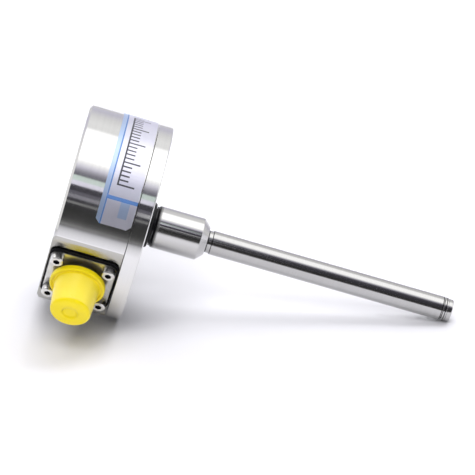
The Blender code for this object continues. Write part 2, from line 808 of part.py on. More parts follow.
# Round board on three spacers
board = place(
    "main_board",
    rod("main_board", BOARD_RADIUS, BOARD_LEVEL, BOARD_TOP, DRUM_STEPS // 2),
    material("board_laminate", (0.02, 0.16, 0.06), 0.5),
)
for index, angle in enumerate((math.radians(20), math.radians(160))):
    x, y = on_circle(CHIP_OFFSET, angle)
    chip = block(
        f"chip_form_{index + 1}",
        (CHIP_SIDE, CHIP_SIDE, CHIP_HEIGHT + BOARD_THICKNESS / 2),
        (x, y, BOARD_TOP + CHIP_HEIGHT / 2 - BOARD_THICKNESS / 4),
    )
    combine(board, tool(chip.name, chip), "UNION")
spacer_brass = material("spacer_brass", (0.70, 0.55, 0.30), 0.35, 1.0)
board_screw_steel = material("board_screw_steel", (0.60, 0.60, 0.58), 0.3, 1.0)
head_base = BOARD_TOP + CLEARANCE
for index, (x, y) in enumerate(board_screw_places):
    name = f"board_spacer_{index + 1}"
    place(
        name,
        ring(
            name,
            SPACER_RADIUS,
            BOARD_SCREW_RADIUS + CLEARANCE,
            BACK_WALL + CLEARANCE,
            BACK_WALL + CLEARANCE + SPACER_HEIGHT,
            16,
        ),
        spacer_brass if index == 0 else spacer_brass.copy(),
        None,
        (x, y, 0.0),
    )
    name = f"board_screw_{index + 1}"
    place(
        name,
        turned(
            name,
            [
                (0.0, head_base + BOARD_SCREW_HEAD_HEIGHT),
                (BOARD_SCREW_HEAD_RADIUS, head_base + BOARD_SCREW_HEAD_HEIGHT),
                (BOARD_SCREW_HEAD_RADIUS, head_base),
                (BOARD_SCREW_RADIUS, head_base),
                (BOARD_SCREW_RADIUS, BACK_WALL - BOARD_SCREW_BITE),
                (0.0, BACK_WALL - BOARD_SCREW_BITE),
            ],
            16,
        ),
        board_screw_steel if index == 0 else board_screw_steel.copy(),
        None,
        (x, y, 0.0),
    )
    hole = rod(
        f"board_hole_{index + 1}",
        BOARD_SCREW_RADIUS + CLEARANCE,
        BOARD_LEVEL - BOARD_THICKNESS,
        BOARD_TOP + BOARD_THICKNESS,
        16,
    )
    combine(board, tool(hole.name, hole, None, (x, y, 0.0)))

# Pick-up: bobbin on the board, its coil, and the bias magnet beside it
core_low = HEAD_LEVEL + HEAD_BASE
core_high = HEAD_TOP - HEAD_BASE
head = place(
    "sensing_head",
    turned(
        "sensing_head",
        [
            (0.0, HEAD_TOP),
            (HEAD_RADIUS, HEAD_TOP),
            (HEAD_RADIUS, core_high),
            (HEAD_CORE_RADIUS, core_high),
            (HEAD_CORE_RADIUS, core_low),
            (HEAD_RADIUS, core_low),
            (HEAD_RADIUS, HEAD_LEVEL),
            (0.0, HEAD_LEVEL),
        ],
        SHELL_STEPS // 2,
    ),
    material("bobbin_plastic", (0.10, 0.10, 0.11), 0.5),
)
head_overrun = 2 * CLEARANCE
for name, radius, x in (
    ("waveguide_hole", WAVEGUIDE_RADIUS + CLEARANCE, 0.0),
    ("return_hole", RETURN_RADIUS + CLEARANCE, RETURN_OFFSET),
):
    hole = rod(name, radius, HEAD_LEVEL - head_overrun, HEAD_TOP + head_overrun, 12)
    combine(head, tool(name, hole, None, (x, 0.0, 0.0)))
coil_bore = HEAD_CORE_RADIUS + CLEARANCE
place(
    "pickup_coil",
    ring(
        "pickup_coil",
        coil_bore + COIL_THICKNESS,
        coil_bore,
        core_low + CLEARANCE,
        core_high - CLEARANCE,
        SHELL_STEPS // 2,
    ),
    material("coil_copper", (0.72, 0.36, 0.16), 0.4, 1.0),
)
place(
    "bias_magnet",
    block(
        "bias_magnet",
        (MAGNET_SIDE, MAGNET_SIDE, MAGNET_HEIGHT),
        (0.0, HEAD_RADIUS + CLEARANCE + MAGNET_SIDE / 2, HEAD_LEVEL + MAGNET_HEIGHT / 2),
    ),
    material("magnet_nickel", (0.45, 0.45, 0.47), 0.3, 1.0),
)

# Waveguide, guide tube, return conductor and the link that joins them at the tip
guide_bore = WAVEGUIDE_RADIUS + CLEARANCE
guide_radius = guide_bore + GUIDE_TUBE_WALL
damper_low = WAVEGUIDE_END - DAMPER_LENGTH
guide_low = HEAD_TOP + CLEARANCE
guide_high = damper_low - CLEARANCE
place(
    "waveguide_wire",
    rod("waveguide_wire", WAVEGUIDE_RADIUS, HEAD_LEVEL, WAVEGUIDE_END, 12),
    material("waveguide_alloy", (0.62, 0.62, 0.60), 0.3, 1.0),
)
place(
    "return_conductor",
    rod("return_conductor", RETURN_RADIUS, HEAD_LEVEL, WAVEGUIDE_END, 12),
    material("conductor_copper", (0.75, 0.40, 0.20), 0.35, 1.0),
    None,
    (RETURN_OFFSET, 0.0, 0.0),
)
place(
    "guide_tube",
    ring("guide_tube", guide_radius, guide_bore, guide_low, guide_high, 16),
    material("guide_ceramic", (0.85, 0.83, 0.78), 0.5),
)
place(
    "damping_sleeve",
    ring("damping_sleeve", DAMPER_RADIUS, guide_bore, damper_low, WAVEGUIDE_END, 16),
    material("damping_silicone", (0.45, 0.12, 0.08), 0.6),
)
link_outline = rounded_outline(
    RETURN_OFFSET + 2 * LINK_HALF_WIDTH, 2 * LINK_HALF_WIDTH, LINK_HALF_WIDTH * 0.9, 3
)
place(
    "conductor_link",
    plate(
        "conductor_link",
        link_outline,
        WAVEGUIDE_END + CLEARANCE,
        WAVEGUIDE_END + CLEARANCE + LINK_THICKNESS,
    ),
    material("link_copper", (0.72, 0.40, 0.22), 0.35, 1.0),
    None,
    (RETURN_OFFSET / 2, 0.0, 0.0),
)
ring_silicone = material("centring_silicone", (0.55, 0.55, 0.53), 0.6)
slot_half = RETURN_RADIUS + CLEARANCE
slot_reach = RETURN_OFFSET + slot_half
for index, share in enumerate((1 / 3, 2 / 3)):
    name = f"centring_ring_{index + 1}"
    level = guide_low + (guide_high - guide_low) * share
    centring = place(
        name,
        ring(
            name,
            ROD_BORE - CLEARANCE,
            guide_radius + CLEARANCE,
            level - CENTRING_RING_LENGTH / 2,
            level + CENTRING_RING_LENGTH / 2,
            SHELL_STEPS // 2,
        ),
        ring_silicone if index == 0 else ring_silicone.copy(),
    )
    slot = block(
        f"return_slot_{index + 1}",
        (slot_reach, 2 * slot_half, 2 * CENTRING_RING_LENGTH),
        (slot_reach / 2, 0.0, level),
    )
    combine(centring, tool(slot.name, slot))

# Leads: each bends from its contact's tail down to the board
lead_colours = ((0.55, 0.05, 0.04), (0.02, 0.02, 0.02), (0.05, 0.15, 0.55), (0.70, 0.70, 0.68))
tail_y = -(INSERT_BACK - PIN_TAIL - CLEARANCE)
for index, pin in enumerate(LEAD_PINS):
    name = f"lead_wire_{index + 1}"
    x, up = pin_places[pin]
    top = CONNECTOR_HEIGHT + up
    drop = top - BOARD_TOP - CLEARANCE
    curve = bpy.data.curves.new(name, "CURVE")
    curve.dimensions = "3D"
    curve.bevel_depth = LEAD_RADIUS
    curve.bevel_resolution = 2
    curve.use_fill_caps = True
    spline = curve.splines.new("POLY")
    spline.points.add(LEAD_POINTS - 1)
    for step, point in enumerate(spline.points):
        turn = math.pi / 2 * step / (LEAD_POINTS - 1)
        point.co = (x, tail_y + LEAD_RUN * math.sin(turn), top - drop * (1 - math.cos(turn)), 1.0)
    wire = bpy.data.objects.new(name, curve)
    PARTS.objects.link(wire)
    look = material(f"lead_insulation_{index + 1}", lead_colours[index], 0.45)
    place(name, settled(wire, name), look)
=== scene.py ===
"""Looks of the rod-style magnetostrictive position sensor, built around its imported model.

The sensor lies on a white table, on the rim of its front plate and the tip of its rod. Lengths
are in millimetres until they reach Blender. The rod runs along +Z and the connector along -Y.
"""

import json
import math

import bmesh
import bpy
from mathutils import Matrix, Vector

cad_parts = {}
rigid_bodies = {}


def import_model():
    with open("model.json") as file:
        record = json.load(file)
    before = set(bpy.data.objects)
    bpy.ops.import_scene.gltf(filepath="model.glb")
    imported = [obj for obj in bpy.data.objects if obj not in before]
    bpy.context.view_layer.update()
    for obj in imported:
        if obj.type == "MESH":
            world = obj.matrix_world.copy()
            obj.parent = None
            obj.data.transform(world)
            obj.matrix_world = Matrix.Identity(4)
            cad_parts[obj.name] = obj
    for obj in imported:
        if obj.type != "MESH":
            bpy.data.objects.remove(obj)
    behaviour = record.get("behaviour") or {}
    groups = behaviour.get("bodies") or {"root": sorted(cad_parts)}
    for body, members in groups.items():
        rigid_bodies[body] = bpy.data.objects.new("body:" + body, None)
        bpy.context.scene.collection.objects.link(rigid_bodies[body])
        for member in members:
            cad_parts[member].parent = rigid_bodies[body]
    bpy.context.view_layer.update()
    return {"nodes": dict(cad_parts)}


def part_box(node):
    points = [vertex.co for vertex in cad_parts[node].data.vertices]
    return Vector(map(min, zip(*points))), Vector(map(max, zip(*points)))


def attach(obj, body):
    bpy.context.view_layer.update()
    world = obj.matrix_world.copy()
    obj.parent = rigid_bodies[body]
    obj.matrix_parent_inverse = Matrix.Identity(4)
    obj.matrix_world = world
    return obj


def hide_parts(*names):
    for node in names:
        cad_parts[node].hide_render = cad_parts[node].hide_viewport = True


for leftover in list(bpy.data.objects):
    bpy.data.objects.remove(leftover, do_unlink=True)
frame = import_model()
MM = 0.001
X, Y, Z = 0, 1, 2


def lowest(node, axis):
    """The lowest level of a CAD node along an axis, in millimetres."""
    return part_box(node)[0][axis] / MM


def highest(node, axis):
    """The highest level of a CAD node along an axis, in millimetres."""
    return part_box(node)[1][axis] / MM


def middle(node, axis):
    return (lowest(node, axis) + highest(node, axis)) / 2


# Camera, from the fit to the photograph: its place, then compass angle, rise and roll in degrees
CAMERA_PLACE = (-864.38, -695.81, -0.1)
CAMERA_TURN = 39.0929
CAMERA_RISE = 3.8536
CAMERA_ROLL = 105.9712
CAMERA_LENS = 200.0
CAMERA_SENSOR = 36.0
CAMERA_REACH = 20000.0

# Table: it touches the front plate's rim and the rod's tip, and its upper side faces TABLE_TURN
TABLE_TURN = math.radians(153.0)
RIM_RADIUS = highest("front_flange", X)
RIM_LEVEL = 36.2
TIP_RADIUS = 4.75
TIP_LEVEL = highest("rod_end_plug", Z)
TABLE_RADIUS = 1600.0
FLOOR_RADIUS = 600.0
GROUND_STEPS = 96

# Table: its tint, where painted shade darkens it on the camera's side, how soon, and the share that is
# left there
TABLE_TINT = (0.935, 0.93, 0.985)
FLOOR_TINT = (0.93, 0.93, 0.945)
TABLE_FADE = (190.0, 1150.0)
TABLE_FADE_POWER = 0.6
TABLE_FAR_SHARE = 0.22
MOTTLE_SHADE = 0.995

# Light on matt surfaces, where 1 is the level at which a colour shows as it is written
SKY_LEVEL = 0.05
TABLE_BOUNCE = 1.06
STEEL_BOUNCE = 0.10
HORIZON_BLUR = 0.04

# Softboxes: name, degrees up from the table's near side, degrees towards the drum's back, level
SOFTBOXES = (
    ("near", 47.0, 0.0, 0.66),
    ("overhead", 90.0, 0.0, 0.24),
    ("tip_side", 110.0, -25.0, 0.48),
    ("far", 145.0, 0.0, 0.27),
    ("back_side", 145.0, 50.0, 0.47),
)
SOFTBOX_AIM = Vector((0.0, 0.0, 40.0))
SOFTBOX_DISTANCE = 1100.0
SOFTBOX_SIZE = 700.0

# What reflections see round the studio: compass angle in degrees, brightness and tint
NEUTRAL = (1.0, 1.0, 1.0)
LILAC = (0.98, 0.96, 1.10)
MINT = (0.92, 1.06, 1.0)
DUSK = (0.95, 0.92, 1.10)
SURROUNDINGS = (
    (0, 1.00, NEUTRAL),
    (62, 0.98, NEUTRAL),
    (68, 0.84, LILAC),
    (78, 0.80, LILAC),
    (94, 0.93, NEUTRAL),
    (110, 1.06, NEUTRAL),
    (120, 1.02, NEUTRAL),
    (124, 1.50, NEUTRAL),
    (132, 1.95, NEUTRAL),
    (164, 1.90, NEUTRAL),
    (170, 1.30, NEUTRAL),
    (176, 0.86, LILAC),
    (180, 0.48, LILAC),
    (184, 0.25, DUSK),
    (188, 0.14, DUSK),
    (200, 0.075, DUSK),
    (216, 0.060, DUSK),
    (226, 0.045, NEUTRAL),
    (236, 0.060, NEUTRAL),
    (241, 0.12, NEUTRAL),
    (246, 0.40, NEUTRAL),
    (254, 0.90, NEUTRAL),
    (264, 1.00, NEUTRAL),
    (359, 1.00, NEUTRAL),
)
SURROUNDINGS_RADIUS = 2400.0
SURROUNDINGS_HEIGHT = 9000.0
SURROUNDINGS_STEPS = 120
SURROUNDINGS_GAIN = 2.0

# Narrow panels near the object: compass angles, lowest and highest level, brightness and tint
PANELS = (
    (188.3, 194.0, -200.0, 74.0, 0.88, MINT),
    (194.0, 199.0, -200.0, 74.0, 1.04, LILAC),
    (205.6, 208.8, -200.0, 88.0, 0.17, DUSK),
    (209.2, 213.4, 48.0, 90.0, 0.75, NEUTRAL),
    (209.2, 213.4, -200.0, 48.0, 0.30, LILAC),
    (217.0, 219.4, -200.0, 92.0, 0.28, NEUTRAL),
)
PANEL_RADIUS = 500.0

# Rays that don't see the surroundings and the panels
REFLECTED_ONLY = ("camera", "diffuse", "shadow", "transmission")

# Copies of CAD meshes: points this near are one, flatter joins vanish, steeper ones are edges
WELD_DISTANCE = 0.002
FLAT_JOIN = math.radians(0.3)
SHARP_JOIN = math.radians(32.0)
EDGE_STEPS = 2

# How far edges are rounded
PLATE_EDGE = 0.12
ROD_EDGE = 0.08
SHELL_EDGE = 0.12
SCREW_EDGE = 0.08
CAP_EDGE = 0.15

# Noise: its own roughness, and the middle part that is stretched over a change of colour or of value
NOISE_ROUGHNESS = 0.55
COLOUR_PART = (0.35, 0.65)
VALUE_PART = (0.3, 0.7)

# Steel's reflection at a glancing angle, kept below a mirror's
EDGE_TINT = (0.80, 0.80, 0.81)

# Turned steel, with fine and broad rings: how fast they change across and along, and their share
FINE_RINGS = (7.0, 1.0)
FINE_SHARE = 0.6
BROAD_RINGS = (0.9, 0.4)
BROAD_SHARE = 0.4
RING_DEPTH = 0.0015
TURNED_SHADE = 0.94
TURNED_ROTATION = 0.25

# Drum and front plate
PLATE_COLOUR = (0.72, 0.715, 0.71)
PLATE_ROUGHNESS = 0.10
PLATE_STRETCH = 0.8

# Milled flat round the connector: level, reach below and above it, half width, and a duller finish
FLAT_LEVEL = lowest("housing_body", Y)
FLAT_BELOW = 0.15
FLAT_ABOVE = 0.6
FLAT_HALF_WIDTH = 21.5
FLAT_COLOUR = (0.36, 0.35, 0.32)
FLAT_SHARE = 0.7
FLAT_ROUGHNESS = 0.12

# Collar's tone, and painted shade in the undercut behind the O-ring, each from and to where it fades
COLLAR_COLOUR = (0.55, 0.545, 0.54)
COLLAR_SHARE = 0.85
COLLAR_FOOT = (40.0, 40.4)
# Painted shade: the undercut's colour and metal share, darkened nearly to black
UNDERCUT_SHADE = (0.012, 0.012, 0.014)
UNDERCUT_SHADE_METALLIC = 0.3
UNDERCUT_SIDE = (9.6, 10.4)
UNDERCUT_FOOT = (36.0, 36.3)
UNDERCUT_TOP = (40.3, 41.6)

# Rod, with narrow dark rings by level: painted shade in the corners of the neck, and dark lines at the
# tip's weld
ROD_COLOUR = (0.49, 0.485, 0.48)
# The neck's two rings are painted shade in its corners; the third and the plug's ring are dark lines at
# the weld
ROD_RINGS = ((62.4, 63.0), (64.5, 64.8), (165.7, 166.1))
PLUG_RINGS = ((167.2, 167.6),)
RING_COLOUR = (0.02, 0.02, 0.02)
RING_SHARE = 0.85

# Connector and its screws, as the CAD has them, with painted shade in the screws' hex sockets
CONNECTOR_LEVEL = middle("receptacle_shell", Z)
SHELL_RADIUS = 7.9
SCREW_OFFSET = middle("flange_screw_2", X)
SCREW_TOP = lowest("flange_screw_1", Y)
SOCKET_SHADE_COLOUR = (0.11, 0.11, 0.12)
SOCKET_SIDE = (1.5, 1.75)
SOCKET_DEPTH = (0.06, 0.22)

# The shell's thread, with the steps over which it starts and ends
THREAD_FROM = -42.4
THREAD_PITCH = 1.0
THREAD_TURNS = 6.6
THREAD_STEPS = 48
THREAD_FADE_STEPS = 6.0
THREAD_RISE = 0.14
THREAD_ROOT = -0.10
THREAD_FOOT = 0.42
THREAD_CREST = 0.08

# Cap: glossier on the barrel, with a soft wide dimple in its end
CAP_COLOUR = (0.93, 0.745, 0.005)
CAP_END = (-56.5, -54.5)
CAP_BARREL = (-54.5, -42.4)
CAP_GLOSS = 0.3
BARREL_GLOSS = 1.0
DIMPLE_RADII = (0.8, 5.4)
DIMPLE_DEPTH = 0.7

# Label: where its arc starts, its film and its inks
LABEL_START = math.radians(225.5)
LABEL_RADIUS = 42.2
FILM_DARK = (0.64, 0.635, 0.74)
FILM_LIGHT = (0.69, 0.685, 0.785)
FILM_METALLIC = 0.85
INK_METALLIC = 0.05
PALE_INK = (0.34, 0.50, 0.76)
PALE_COVER = 0.7
BLUE_INK = (0.035, 0.16, 0.46)
BLUE_COVER = 0.9
BLUE_MATT = 0.6
BLACK_INK = (0.012, 0.012, 0.02)
BLACK_COVER = 0.96

# Label's measuring scale, along the arc and then along the rod
SCALE_FROM = 17.0
SCALE_TO = 62.0
SCALE_PITCH = 2.1
SCALE_BASE = 19.6
SCALE_LINE = 0.7
TICK_SHARE = 0.34
TICK_SHORT = 3.6
TICK_TALL = 6.6
TICK_GROUP = 5.0

# Label's rules and steps: from and to along the arc, then from and to along the rod
BLACK_RULES = ((66.0, 89.5, 24.6, 25.2),)
BLUE_RULES = (
    (0.0, 92.0, 16.2, 16.75),
    (10.6, 12.2, 16.2, 29.3),
    (66.0, 67.0, 16.2, 24.0),
)
PALE_STEPS = (
    (0.0, 92.0, 14.4, 16.2),
    (4.0, 11.0, 22.6, 26.4),
    (70.0, 76.0, 17.8, 23.2),
    (77.5, 83.5, 17.8, 21.4),
    (85.0, 89.5, 17.8, 19.6),
)

# Board's weave and coil's turns: radians of their wave to a millimetre, and their colours
WEAVE_WAVES = 9.0
BOARD_DARK = (0.018, 0.115, 0.05)
BOARD_LIGHT = (0.025, 0.15, 0.065)
BOARD_CLOUD = (0.02, 0.13, 0.06)
COIL_WAVES = 30.0
COPPER_DARK = (0.42, 0.14, 0.05)
COPPER_LIGHT = (0.80, 0.36, 0.15)

# Rubbers and the leads' covers
O_RING_COLOUR = (0.005, 0.005, 0.006)
GASKET_COLOUR = (0.004, 0.004, 0.005)
LEAD_COLOURS = (
    ("red", (0.62, 0.03, 0.02)),
    ("black", (0.015, 0.015, 0.015)),
    ("blue", (0.03, 0.10, 0.50)),
    ("white", (0.78, 0.78, 0.76)),
)


class Nodes:
    """A node tree and short calls that add nodes to it."""

    def __init__(self, tree):
        self.tree = tree

    def node(self, kind, **settings):
        made = self.tree.nodes.new(kind)
        for key, value in settings.items():
            setattr(made, key, value)
        return made

    def feed(self, socket, value):
        """Links an output to the socket, or sets the socket to a plain value."""
        if isinstance(value, bpy.types.NodeSocket):
            self.tree.links.new(value, socket)
        elif value is not None:
            socket.default_value = value

    def math(self, operation, first, second=None, third=None):
        made = self.node("ShaderNodeMath", operation=operation)
        for socket, value in zip(made.inputs, (first, second, third)):
            self.feed(socket, value)
        return made.outputs[0]

    def product(self, first, *others):
        for factor in others:
            first = self.math("MULTIPLY", first, factor)
        return first

    def either(self, first, *others):
        """The highest of some masks."""
        for mask in others:
            first = self.math("MAXIMUM", first, mask)
        return first

    def place(self):
        """The point in the object's own space, in millimetres, as (x, y, z) outputs."""
        source = self.node("ShaderNodeTexCoord")
        scaled = self.node("ShaderNodeVectorMath", operation="SCALE")
        self.feed(scaled.inputs[0], source.outputs["Object"])
        scaled.inputs["Scale"].default_value = 1.0 / MM
        parts = self.node("ShaderNodeSeparateXYZ")
        self.feed(parts.inputs[0], scaled.outputs[0])
        return parts.outputs[0], parts.outputs[1], parts.outputs[2]

    def vector(self, x, y, z):
        made = self.node("ShaderNodeCombineXYZ")
        for socket, value in zip(made.inputs, (x, y, z)):
            self.feed(socket, value)
        return made.outputs[0]

    def dot(self, vector, fixed):
        """The vector's length along a fixed direction."""
        made = self.node("ShaderNodeVectorMath", operation="DOT_PRODUCT")
        self.feed(made.inputs[0], vector)
        made.inputs[1].default_value = fixed
        return made.outputs["Value"]

    def radius(self, first, second):
        """The distance from an axis, from the two values square to it."""
        squares = self.math("ADD", self.product(first, first), self.product(second, second))
        return self.math("SQRT", squares)

    def inside(self, value, low, high):
        """1 where the value lies between low and high, else 0."""
        return self.math("COMPARE", value, (low + high) / 2, (high - low) / 2)

    def patches(self, across, up, rectangles):
        """1 inside any of some rectangles, each from and to across, then from and to up."""
        masks = [
            self.product(self.inside(across, left, right), self.inside(up, foot, top))
            for left, right, foot, top in rectangles
        ]
        return self.either(*masks)

    def noise(self, vector, scale, detail):
        made = self.node("ShaderNodeTexNoise")
        self.feed(made.inputs["Vector"], vector)
        made.inputs["Scale"].default_value = scale
        made.inputs["Detail"].default_value = detail
        made.inputs["Roughness"].default_value = NOISE_ROUGHNESS
        return made.outputs["Fac"]

    def span(self, value, low, high, new_low, new_high, curve="LINEAR"):
        """The value taken from one range to another, held inside the new one."""
        made = self.node("ShaderNodeMapRange", clamp=True, interpolation_type=curve)
        for socket, given in zip(made.inputs, (value, low, high, new_low, new_high)):
            self.feed(socket, given)
        return made.outputs[0]

    def blend(self, share, first, second):
        """Colour between two colours."""
        made = self.node("ShaderNodeMix", data_type="RGBA")
        self.feed(made.inputs["Factor"], share)
        for name, value in (("A", first), ("B", second)):
            socket = [s for s in made.inputs if s.name == name and s.type == "RGBA"][0]
            self.feed(socket, (*value, 1.0) if isinstance(value, tuple) else value)
        return [s for s in made.outputs if s.type == "RGBA"][0]

    def two_tone(self, noise, dark, light):
        """Colour that wanders between two tones with a noise."""
        return self.blend(self.span(noise, *COLOUR_PART, 0.0, 1.0), dark, light)

    def wander(self, noise, low, high):
        """A value that wanders between two ends with a noise."""
        return self.span(noise, *VALUE_PART, low, high)

    def met_matt(self):
        """1 for a ray that has met a matt surface on its way, else 0."""
        rays = self.node("ShaderNodeLightPath")
        return self.math("GREATER_THAN", rays.outputs["Diffuse Depth"], 0.5)

    def steel_bounce(self):
        """The share of light for a ray that steel sends on from a matt surface, 1 for all others."""
        rays = self.node("ShaderNodeLightPath")
        sent_on = self.product(rays.outputs["Is Glossy Ray"], self.met_matt())
        return self.span(sent_on, 0.0, 1.0, 1.0, STEEL_BOUNCE)


class Look(Nodes):
    """One material, with its shader and what only a material has."""

    def __init__(self, name):
        self.material = bpy.data.materials.new(name)
        self.material.use_nodes = True
        super().__init__(self.material.node_tree)
        self.shader = self.tree.nodes["Principled BSDF"]
        self.output = self.tree.nodes["Material Output"]

    def set(self, **values):
        """Sets or links the shader's sockets, by names with underscores for spaces."""
        for key, value in values.items():
            name = key.replace("_", " ").title().replace("Ior", "IOR")
            self.feed(self.shader.inputs[name], (*value, 1.0) if isinstance(value, tuple) else value)

    def fed_by(self, name):
        """The output that now feeds one of the shader's sockets."""
        return self.shader.inputs[name].links[0].from_socket

    def lay(self, share, colour):
        """Lays a colour over the base colour where the share says."""
        self.set(base_color=self.blend(share, self.fed_by("Base Color"), colour))

    def raised(self, height, distance):
        """The surface's direction when a height from 0 to 1 raises it by up to a distance."""
        made = self.node("ShaderNodeBump")
        made.inputs["Distance"].default_value = distance * MM
        self.feed(made.inputs["Height"], height)
        return made.outputs[0]

    def bump(self, height, distance):
        self.feed(self.shader.inputs["Normal"], self.raised(height, distance))

    def show(self, share, first, second):
        """Puts a mix of two other shaders on the surface."""
        choice = self.node("ShaderNodeMixShader")
        for socket, value in zip(choice.inputs, (share, first.outputs[0], second.outputs[0])):
            self.feed(socket, value)
        self.feed(self.output.inputs["Surface"], choice.outputs[0])
        self.tree.nodes.remove(self.shader)


def new_object(name, data):
    made = bpy.data.objects.new(name, data)
    bpy.context.scene.collection.objects.link(made)
    return made


def finished_mesh(name, work):
    """A mesh with what was made in a bmesh, which is freed."""
    mesh = bpy.data.meshes.new(name)
    work.to_mesh(mesh)
    work.free()
    return mesh


def ring_noise(look, radius, level, turn, across, along):
    """Noise drawn out into rings round the rod's axis."""
    point = look.vector(
        look.product(radius, across),
        look.product(level, across),
        look.product(turn, along),
    )
    return look.noise(point, scale=1.0, detail=2.0)


def turned_steel(name, colour, roughness, grain=1.0, stretch=0.7):
    """Steel turned round the rod's axis: fine rings, with highlights drawn out across them."""
    look = Look(name)
    x, y, z = look.place()
    radius = look.radius(x, y)
    turn = look.math("ARCTAN2", y, x)
    fine = ring_noise(look, radius, z, turn, *FINE_RINGS)
    broad = ring_noise(look, radius, z, turn, *BROAD_RINGS)
    rings = look.math("ADD", look.product(fine, FINE_SHARE), look.product(broad, BROAD_SHARE))
    cloud = look.noise(look.vector(x, y, z), scale=0.12, detail=3.0)
    wide = look.wander(cloud, roughness - 0.02, roughness + 0.03)
    narrow = look.span(fine, *COLOUR_PART, 0.0, 0.04)
    look.set(
        base_color=look.two_tone(rings, tuple(value * TURNED_SHADE for value in colour), colour),
        metallic=1.0,
        roughness=look.math("ADD", wide, narrow),
        anisotropic=stretch,
        anisotropic_rotation=TURNED_ROTATION,
        specular_tint=EDGE_TINT,
    )
    tangent = look.node("ShaderNodeTangent", direction_type="RADIAL", axis="Z")
    look.feed(look.shader.inputs["Tangent"], tangent.outputs[0])
    look.bump(rings, RING_DEPTH * grain)
    return look


def fine_metal(name, colour, roughness, scale=1.2, depth=0.004, shade=0.82):
    """Milled, plated or drawn metal with a faint even grain."""
    look = Look(name)
    point = look.vector(*look.place())
    grain = look.noise(point, scale=scale * 4.0, detail=4.0)
    cloud = look.noise(point, scale=scale * 0.3, detail=3.0)
    look.set(
        base_color=look.two_tone(cloud, tuple(value * shade for value in colour), colour),
        metallic=1.0,
        roughness=look.wander(grain, roughness - 0.04, roughness + 0.06),
        specular_tint=EDGE_TINT,
    )
    look.bump(grain, depth)
    return look


def moulded(name, colour, roughness, scale=1.0, depth=0.01, shade=0.88, **extra):
    """Plastic or rubber with a fine skin."""
    look = Look(name)
    point = look.vector(*look.place())
    skin = look.noise(point, scale=scale * 5.0, detail=3.0)
    cloud = look.noise(point, scale=scale * 0.25, detail=2.0)
    look.set(
        base_color=look.two_tone(cloud, tuple(value * shade for value in colour), colour),
        roughness=look.wander(skin, roughness - 0.05, roughness + 0.07),
        **extra,
    )
    look.bump(skin, depth)
    return look


def welded_copy(node):
    """A copy of a CAD node's mesh, welded and with rounded shading."""
    mesh = frame["nodes"][node].data.copy()
    mesh.name = f"{node}_skin"
    if mesh.has_custom_normals:
        mesh.attributes.remove(mesh.attributes["custom_normal"])
    work = bmesh.new()
    work.from_mesh(mesh)
    bmesh.ops.remove_doubles(work, verts=work.verts, dist=WELD_DISTANCE * MM)
    bmesh.ops.dissolve_limit(
        work,
        angle_limit=FLAT_JOIN,
        verts=work.verts,
        edges=work.edges,
        use_dissolve_boundaries=False,
    )
    work.to_mesh(mesh)
    work.free()
    mesh.shade_smooth()
    mesh.set_sharp_from_angle(angle=SHARP_JOIN)
    return mesh


def round_edges(piece, width):
    soften = piece.modifiers.new("edges", "BEVEL")
    soften.width = width * MM
    soften.segments = EDGE_STEPS
    soften.limit_method = "ANGLE"
    soften.angle_limit = SHARP_JOIN
    soften.harden_normals = True
    soften.use_clamp_overlap = True


def smooth_copy(node, look, body="sensor", edge=0.0):
    """A copy of a CAD node with rounded shading and edges, in its place."""
    mesh = welded_copy(node)
    piece = new_object(f"{node}_skin", mesh)
    if edge:
        round_edges(piece, edge)
    mesh.materials.clear()
    mesh.materials.append(look.material)
    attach(piece, body)
    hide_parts(node)


def paint(node, look):
    """Gives a CAD node a finished material."""
    for slot in frame["nodes"][node].material_slots:
        slot.material = look.material


def paint_row(name, count, look):
    """Paints the CAD nodes name_1, name_2 and so on."""
    for index in range(count):
        paint(f"{name}_{index + 1}", look)


def table_up():
    """The table's upward direction: it touches the front plate's rim and the rod's tip."""
    lean = math.atan2(RIM_RADIUS - TIP_RADIUS, TIP_LEVEL - RIM_LEVEL)
    level = math.cos(lean)
    return Vector((level * math.cos(TABLE_TURN), level * math.sin(TABLE_TURN), -math.sin(lean)))


def table_near():
    """The direction along the table, square to the rod, that comes towards the camera's side."""
    return Vector((-math.sin(TABLE_TURN), math.cos(TABLE_TURN), 0.0))


def compass(angle, rise):
    """The direction at a compass angle and a rise, both in degrees."""
    turn, lift = math.radians(angle), math.radians(rise)
    return Vector((math.cos(lift) * math.cos(turn), math.cos(lift) * math.sin(turn), math.sin(lift)))


def make_camera():
    ahead = compass(CAMERA_TURN, CAMERA_RISE)
    level = ahead.cross(Vector((0.0, 0.0, 1.0))).normalized()
    upright = level.cross(ahead)
    roll = math.radians(CAMERA_ROLL)
    right = level * math.cos(roll) + upright * math.sin(roll)
    up = upright * math.cos(roll) - level * math.sin(roll)
    data = bpy.data.cameras.new("camera")
    data.lens = CAMERA_LENS
    data.sensor_width = CAMERA_SENSOR
    data.clip_end = CAMERA_REACH * MM
    camera = new_object("camera", data)
    turned = Matrix((right, up, -ahead)).transposed().to_4x4()
    turned.translation = Vector(CAMERA_PLACE) * MM
    camera.matrix_world = turned
    bpy.context.scene.camera = camera


def stage_object(name, mesh, look, *unseen_by):
    """An object of the stage, hidden from some kinds of rays."""
    made = new_object(name, mesh)
    mesh.materials.append(look.material)
    for kind in unseen_by:
        setattr(made, f"visible_{kind}", False)
    return made


def flat_round(name, radius):
    work = bmesh.new()
    bmesh.ops.create_circle(work, cap_ends=True, radius=radius * MM, segments=GROUND_STEPS)
    return finished_mesh(name, work)


